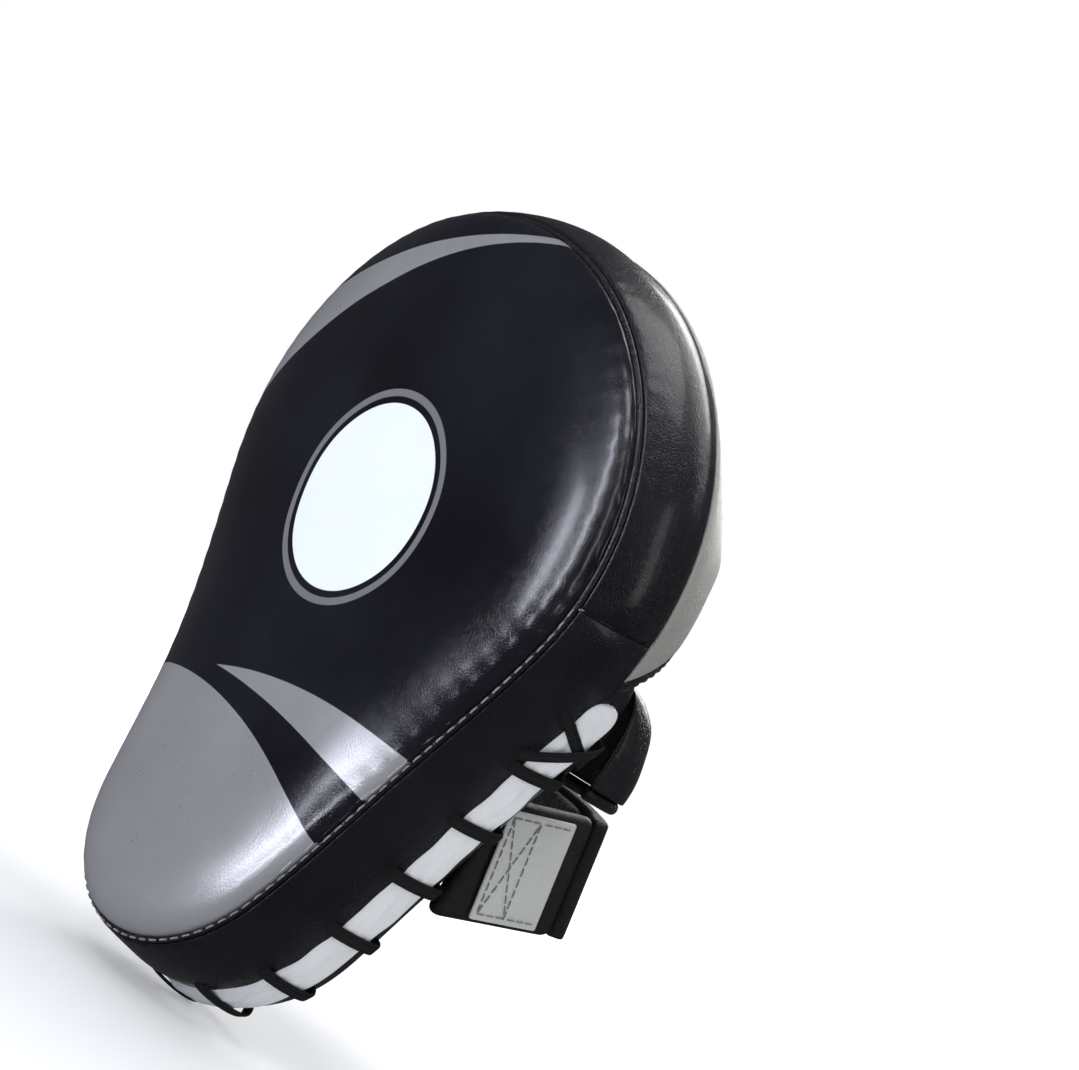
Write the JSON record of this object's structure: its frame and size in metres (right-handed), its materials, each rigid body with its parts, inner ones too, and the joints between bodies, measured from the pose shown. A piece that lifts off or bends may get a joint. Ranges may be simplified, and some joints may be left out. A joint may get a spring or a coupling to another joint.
{
  "type": "focus mitt",
  "caption": "Curved padded focus mitt for the right hand: crowned striking face, laced side wall, vented finger hood, thumb pocket and hook-and-loop wrist strap.",
  "frame": {"origin": "centre of the mouth of the finger pocket, where the hand goes in", "axes": "+Z from the wrist end to the fingertips, +Y to the hand side, away from the striking face, +X to the right as the striking face is seen"},
  "size_m": [0.2358, 0.1568, 0.3101],
  "materials": {
    "black_leather": "glossy",
    "palm_leather": "satin",
    "silver_leather": "satin metallic",
    "white_leather": "matte",
    "binding_leather": "glossy",
    "lace_cord": "matte flat braid",
    "mesh_knit": "ribbed knit",
    "foam": "matte foam",
    "core_foam": "matte dense foam",
    "lining": "matte",
    "strap_leather": "satin",
    "loop_tape": "soft loop pile",
    "hook_tape": "stiff hook pile"
  },
  "bodies": {
    "pad": {"face_panel": "black_leather", "seam_welt": "binding_leather", "upper_gusset": "black_leather", "lower_gusset": "black_leather", "impact_foam": "foam", "core_foam": "core_foam", "rear_foam": "foam", "back_foam": "foam", "back_panel": "palm_leather", "palm_grip": "palm_leather", "lace_strip": "white_leather", "lacing": "lace_cord", "finger_hood": "silver_leather", "hood_mesh": "mesh_knit", "hood_padding": "lining", "mouth_binding": "binding_leather", "thumb_pocket": "palm_leather", "thumb_binding": "binding_leather", "cuff_right": "strap_leather", "cuff_left": "strap_leather", "strap_anchor": "silver_leather", "loop_patch": "loop_tape"},
    "strap": {"strap_span": "strap_leather", "span_lining": "lining"},
    "tip": {"strap_tip": "strap_leather", "hook_patch": "hook_tape", "tip_tab": "silver_leather"}
  },
  "joints": [
    {"name": "strap_swing", "type": "hinge", "parent": "pad", "child": "strap", "pos_m": [0.058, 0.04348, -0.11588], "axis": [0, 0.1994, -0.9799], "range_deg": [0, 120]},
    {"name": "tip_peel", "type": "hinge", "parent": "strap", "child": "tip", "pos_m": [-0.0701, 0.04348, -0.11588], "axis": [0, 0.1994, -0.9799], "range_deg": [0, 95]}
  ]
}
